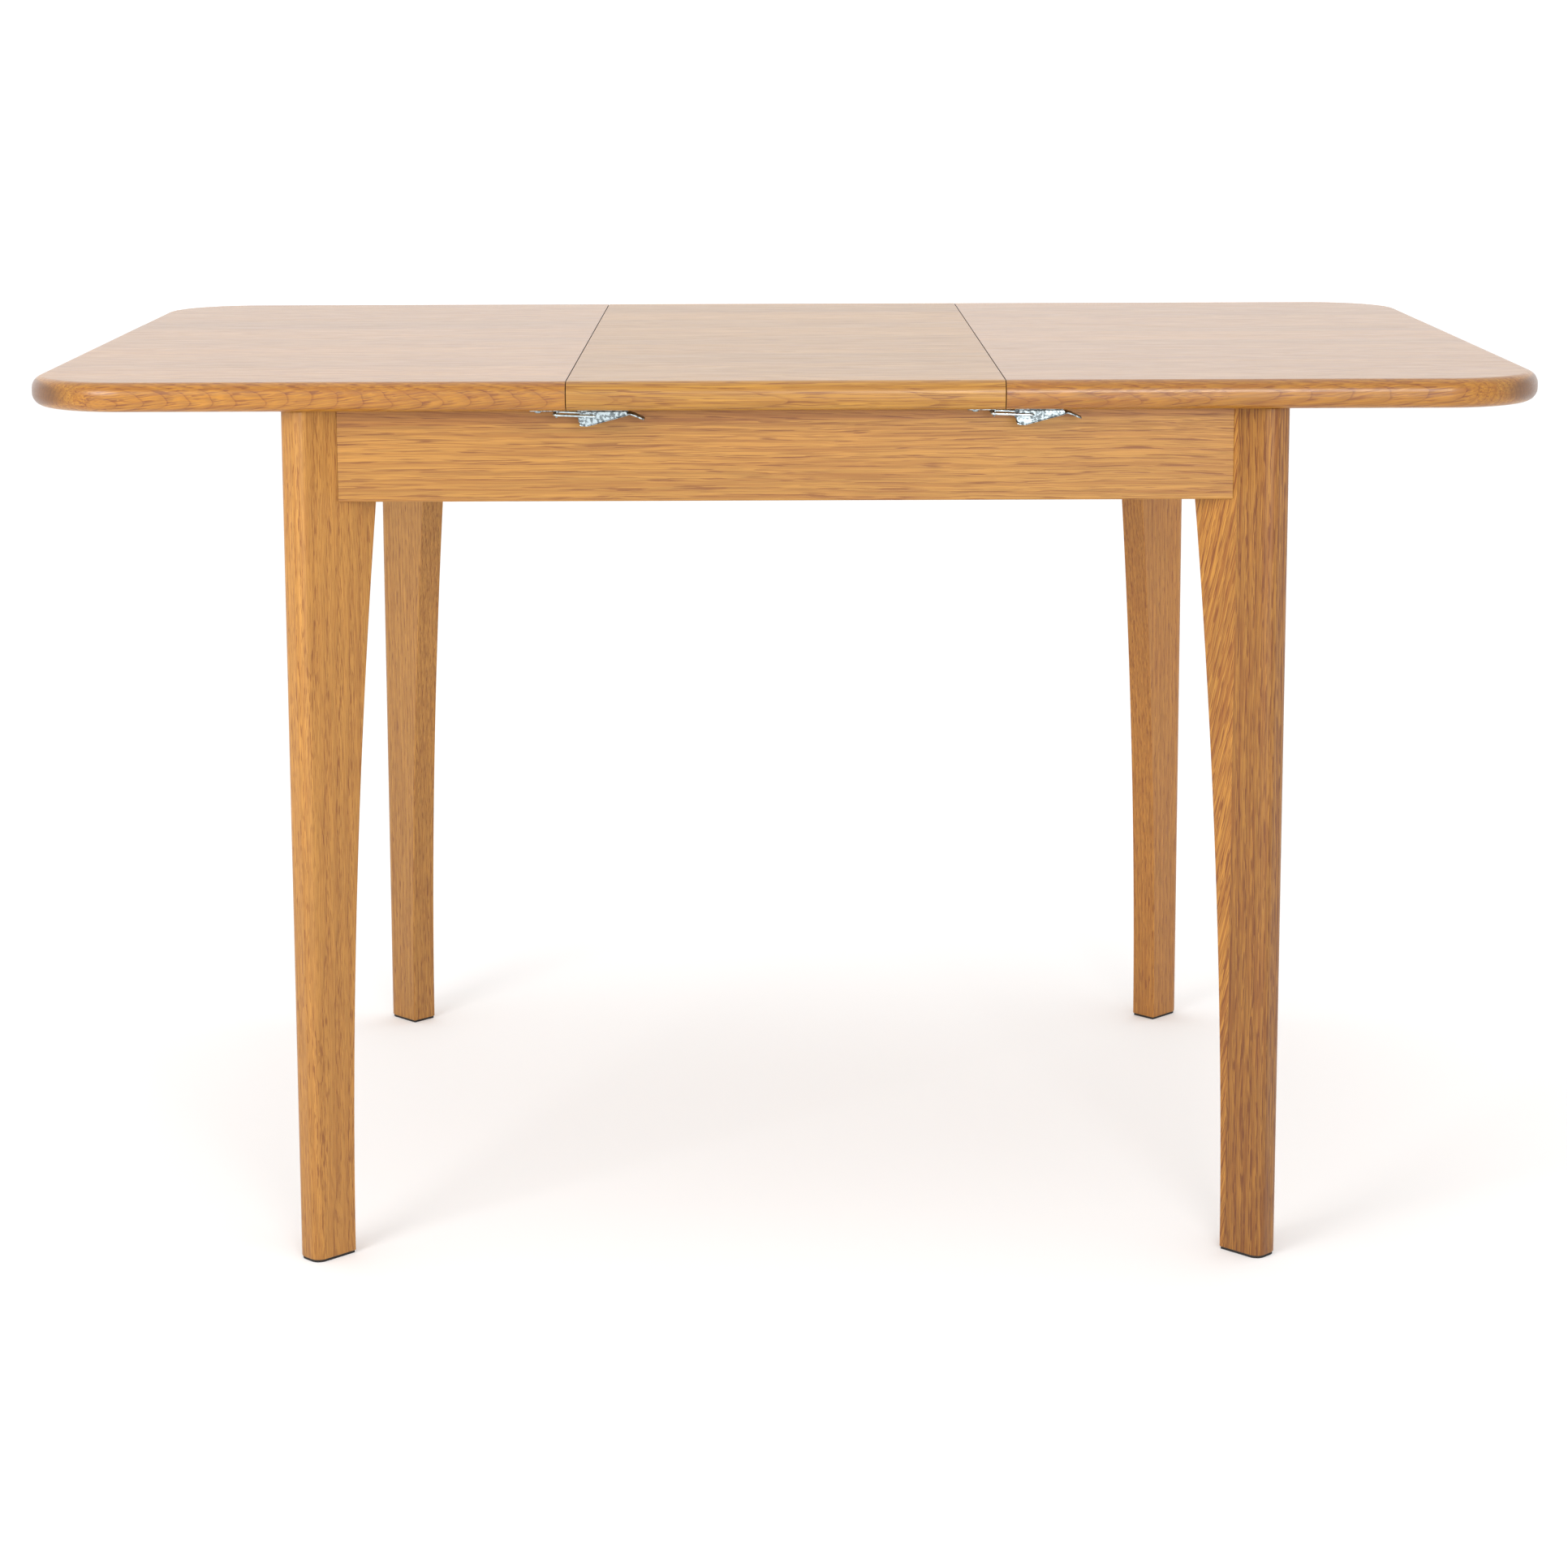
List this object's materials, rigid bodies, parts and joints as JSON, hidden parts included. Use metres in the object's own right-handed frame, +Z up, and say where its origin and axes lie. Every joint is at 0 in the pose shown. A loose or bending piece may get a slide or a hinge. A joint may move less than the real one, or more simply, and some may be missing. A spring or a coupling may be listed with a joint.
{
  "type": "extending dining table",
  "caption": "Extending oak dining table: two sliding half tops and a loose centre leaf held by draw latches, on a frame with diagonal board legs.",
  "frame": {"origin": "on the floor under the middle of the table", "axes": "+X along the table, +Z up; the front long side faces -Y"},
  "size_m": [1.234, 0.8, 0.74],
  "materials": {
    "top_oak": "satin lacquered oak, honey edge and paler top",
    "leaf_oak": "satin lacquered oak, lighter and yellower than the half tops",
    "leg_oak": "satin lacquered oak, upright grain",
    "apron_oak": "satin lacquered oak, level grain",
    "hidden_wood": "plain sanded wood",
    "runner_wood": "dark hardwood, waxed",
    "latch_zinc": "bright zinc plate",
    "steel_fixing": "bright zinc plate",
    "foot_pad": "dark matt pad"
  },
  "bodies": {
    "frame": {"front_left_leg": "leg_oak", "front_right_leg": "leg_oak", "rear_left_leg": "leg_oak", "rear_right_leg": "leg_oak", "foot_pads": "foot_pad", "front_apron": "apron_oak", "rear_apron": "apron_oak", "left_apron": "apron_oak", "right_apron": "apron_oak", "joint_biscuits": "hidden_wood", "front_left_block": "hidden_wood", "front_right_block": "hidden_wood", "rear_left_block": "hidden_wood", "rear_right_block": "hidden_wood", "hanger_bolts": "steel_fixing", "bolt_nuts": "steel_fixing", "front_guide_rail": "runner_wood", "rear_guide_rail": "runner_wood", "left_cross_rail": "hidden_wood", "right_cross_rail": "hidden_wood", "rail_screws": "steel_fixing"},
    "left_top": {"left_top_panel": "top_oak", "left_front_slider": "runner_wood", "left_rear_slider": "runner_wood", "left_slider_screws": "steel_fixing", "left_front_keeper": "latch_zinc", "left_rear_keeper": "latch_zinc", "left_keeper_screws": "latch_zinc"},
    "leaf": {"leaf_panel": "leaf_oak", "leaf_front_keeper": "latch_zinc", "leaf_rear_keeper": "latch_zinc", "leaf_front_base": "latch_zinc", "leaf_rear_base": "latch_zinc", "leaf_latch_pins": "latch_zinc", "leaf_latch_screws": "latch_zinc"},
    "right_top": {"right_top_panel": "top_oak", "right_front_slider": "runner_wood", "right_rear_slider": "runner_wood", "right_slider_screws": "steel_fixing", "right_front_base": "latch_zinc", "right_rear_base": "latch_zinc", "right_latch_pins": "latch_zinc", "right_latch_screws": "latch_zinc"},
    "lever_left_front": {"left_front_lever": "latch_zinc"},
    "bail_left_front": {"left_front_bail": "latch_zinc"},
    "lever_left_rear": {"left_rear_lever": "latch_zinc"},
    "bail_left_rear": {"left_rear_bail": "latch_zinc"},
    "lever_right_front": {"right_front_lever": "latch_zinc"},
    "bail_right_front": {"right_front_bail": "latch_zinc"},
    "lever_right_rear": {"right_rear_lever": "latch_zinc"},
    "bail_right_rear": {"right_rear_bail": "latch_zinc"}
  },
  "joints": [
    {"name": "left_top_slide", "type": "slide", "parent": "frame", "child": "left_top", "axis": [1, 0, 0], "range_m": [0, 0.176]},
    {"name": "right_top_slide", "type": "slide", "parent": "frame", "child": "right_top", "axis": [-1, 0, 0], "range_m": [0, 0.176]},
    {"name": "leaf_lift", "type": "slide", "parent": "frame", "child": "leaf", "axis": [0, 0, 1], "range_m": [0, 0.493]},
    {"name": "left_front_lever_hinge", "type": "hinge", "parent": "leaf", "child": "lever_left_front", "pos_m": [-0.162, -0.373, 0.709], "axis": [0, 1, 0], "range_deg": [0, 100]},
    {"name": "left_front_bail_hinge", "type": "hinge", "parent": "lever_left_front", "child": "bail_left_front", "pos_m": [-0.15318, -0.373, 0.71081], "axis": [0, 1, 0], "range_deg": [-80, 0]},
    {"name": "left_rear_lever_hinge", "type": "hinge", "parent": "leaf", "child": "lever_left_rear", "pos_m": [-0.162, 0.373, 0.709], "axis": [0, 1, 0], "range_deg": [0, 100]},
    {"name": "left_rear_bail_hinge", "type": "hinge", "parent": "lever_left_rear", "child": "bail_left_rear", "pos_m": [-0.15318, 0.373, 0.71081], "axis": [0, 1, 0], "range_deg": [-80, 0]},
    {"name": "right_front_lever_hinge", "type": "hinge", "parent": "right_top", "child": "lever_right_front", "pos_m": [0.19, -0.373, 0.709], "axis": [0, 1, 0], "range_deg": [0, 100]},
    {"name": "right_front_bail_hinge", "type": "hinge", "parent": "lever_right_front", "child": "bail_right_front", "pos_m": [0.19882, -0.373, 0.71081], "axis": [0, 1, 0], "range_deg": [-80, 0]},
    {"name": "right_rear_lever_hinge", "type": "hinge", "parent": "right_top", "child": "lever_right_rear", "pos_m": [0.19, 0.373, 0.709], "axis": [0, 1, 0], "range_deg": [0, 100]},
    {"name": "right_rear_bail_hinge", "type": "hinge", "parent": "lever_right_rear", "child": "bail_right_rear", "pos_m": [0.19882, 0.373, 0.71081], "axis": [0, 1, 0], "range_deg": [-80, 0]}
  ],
  "couplings": [
    {"joint": "right_top_slide", "follows": "left_top_slide", "ratio": 1},
    {"joint": "leaf_lift", "follows": "left_top_slide", "ratio": 2.8},
    {"joint": "left_front_bail_hinge", "follows": "left_front_lever_hinge", "ratio": -0.8},
    {"joint": "left_rear_bail_hinge", "follows": "left_rear_lever_hinge", "ratio": -0.8},
    {"joint": "right_front_bail_hinge", "follows": "right_front_lever_hinge", "ratio": -0.8},
    {"joint": "right_rear_bail_hinge", "follows": "right_rear_lever_hinge", "ratio": -0.8}
  ]
}
